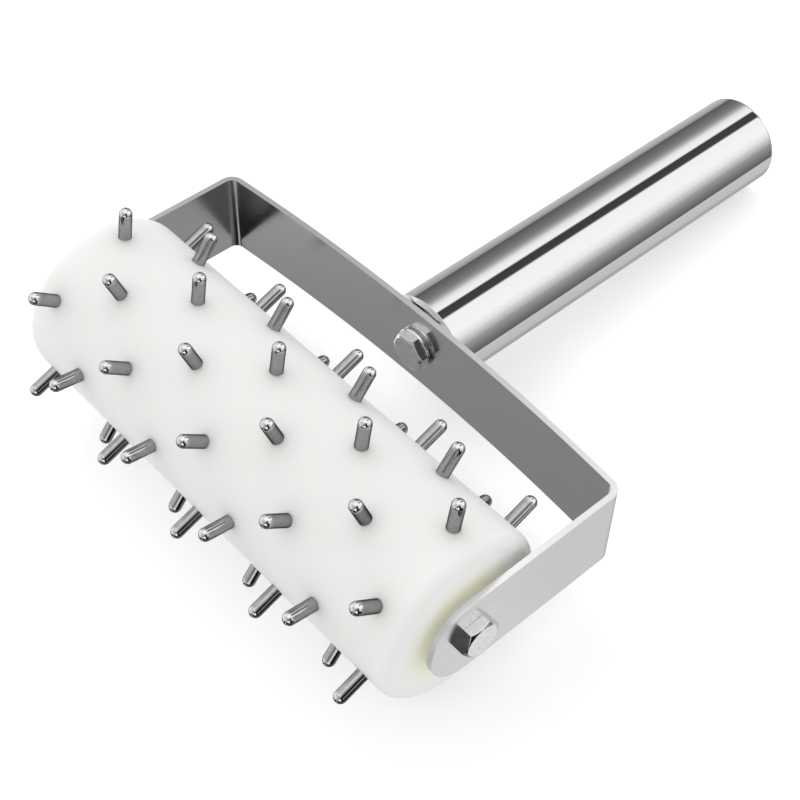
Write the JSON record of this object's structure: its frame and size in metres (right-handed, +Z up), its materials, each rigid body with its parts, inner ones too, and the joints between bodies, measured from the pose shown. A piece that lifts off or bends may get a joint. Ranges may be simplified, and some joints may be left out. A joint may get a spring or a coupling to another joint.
{
  "type": "dough docker",
  "caption": "Hand roller set with short blunt steel pins, turning in a bent steel yoke on a tubular handle, for pricking rolled-out dough before baking.",
  "frame": {"origin": "on the table plane, under the middle of the tool's bounding box, with the tool lying at rest on two rows of pins and the end of the handle", "axes": "+X along the roller's axis, +Y towards the end of the handle, +Z up from the table"},
  "size_m": [0.156, 0.2158, 0.0646],
  "materials": {
    "roller_plastic": "turned white food-grade plastic, soft sheen, slightly translucent",
    "pin_steel": "polished stainless steel",
    "axle_steel": "turned stainless steel",
    "washer_nylon": "natural nylon",
    "bolt_steel": "cold-formed stainless steel, satin",
    "washer_steel": "bright spring steel",
    "strip_steel": "satin rolled stainless strip",
    "tube_steel": "polished stainless tube"
  },
  "bodies": {
    "frame": {"axle_shaft": "axle_steel", "left_spacer_washer": "washer_nylon", "right_spacer_washer": "washer_nylon", "left_axle_bolt": "bolt_steel", "right_axle_bolt": "bolt_steel", "yoke": "strip_steel", "hub_bolt": "bolt_steel", "spring_washer": "washer_steel", "handle_plug": "axle_steel", "handle_tube": "tube_steel", "handle_end_cap": "tube_steel"},
    "roller": {"roller_body": "roller_plastic", "pin_row_01": "pin_steel", "pin_row_02": "pin_steel", "pin_row_03": "pin_steel", "pin_row_04": "pin_steel", "pin_row_05": "pin_steel", "pin_row_06": "pin_steel", "pin_row_07": "pin_steel", "pin_row_08": "pin_steel", "pin_row_09": "pin_steel", "pin_row_10": "pin_steel", "pin_row_11": "pin_steel", "pin_row_12": "pin_steel"}
  },
  "joints": [
    {"name": "roller_spin", "type": "hinge", "parent": "frame", "child": "roller", "pos_m": [0, -0.07554, 0.03232], "axis": [1, 0, 0], "continuous": true}
  ]
}
